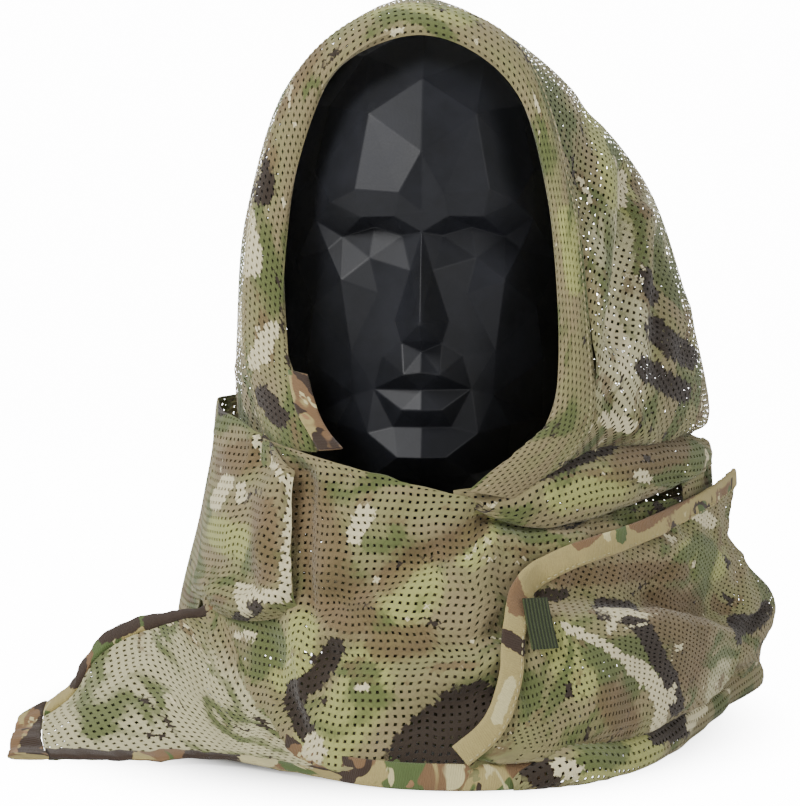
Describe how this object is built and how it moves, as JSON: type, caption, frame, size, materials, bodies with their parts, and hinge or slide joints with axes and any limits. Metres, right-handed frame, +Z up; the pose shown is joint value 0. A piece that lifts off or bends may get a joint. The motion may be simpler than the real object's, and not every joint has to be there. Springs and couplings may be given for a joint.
{
  "type": "ghillie suit",
  "caption": "Camouflage mesh sniper veil wound as a hood and neck wrap on a faceted display head, with bound free edges, a loose lapel and a tail.",
  "frame": {"origin": "on the table, in the flat foot of the display head, near its axis", "axes": "+Z up, the face and the hood's opening look along -Y, +X towards the lapel, which is the wearer's left"},
  "size_m": [0.365, 0.3295, 0.3491],
  "materials": {
    "mesh_cloth": "matte knitted mesh with a printed woodland pattern",
    "woven_tape": "matte woven tape with a printed woodland pattern",
    "olive_webbing": "matte ribbed webbing",
    "black_plastic": "satin moulded plastic"
  },
  "bodies": {
    "head": {"head_form": "black_plastic"},
    "scarf": {"hood_mesh": "mesh_cloth", "hood_face_hem": "mesh_cloth", "chin_binding": "woven_tape", "throat_roll": "mesh_cloth", "front_swath": "mesh_cloth", "front_hem_binding": "woven_tape", "left_swath": "mesh_cloth", "right_swath": "mesh_cloth", "back_swath": "mesh_cloth", "back_hem_binding": "woven_tape"},
    "lapel": {"lapel_mesh": "mesh_cloth", "lapel_binding": "woven_tape", "lapel_tab": "olive_webbing", "lapel_hem_roll": "mesh_cloth"},
    "tail": {"tail_mesh": "mesh_cloth", "tail_top_binding": "woven_tape", "tail_hem_binding": "woven_tape", "tail_tip_binding": "woven_tape"}
  },
  "joints": [
    {"name": "scarf_lift", "type": "slide", "parent": "head", "child": "scarf", "axis": [0, 0, 1], "range_m": [0, 0.36]},
    {"name": "lapel_swing", "type": "hinge", "parent": "scarf", "child": "lapel", "pos_m": [0.187, 0.055, 0.06], "axis": [0, 0, 1], "range_deg": [0, 60]},
    {"name": "tail_lift", "type": "hinge", "parent": "scarf", "child": "tail", "pos_m": [-0.082, -0.086, 0.031], "axis": [-0.4587, 0.6935, 0.5556], "range_deg": [0, 45]}
  ]
}
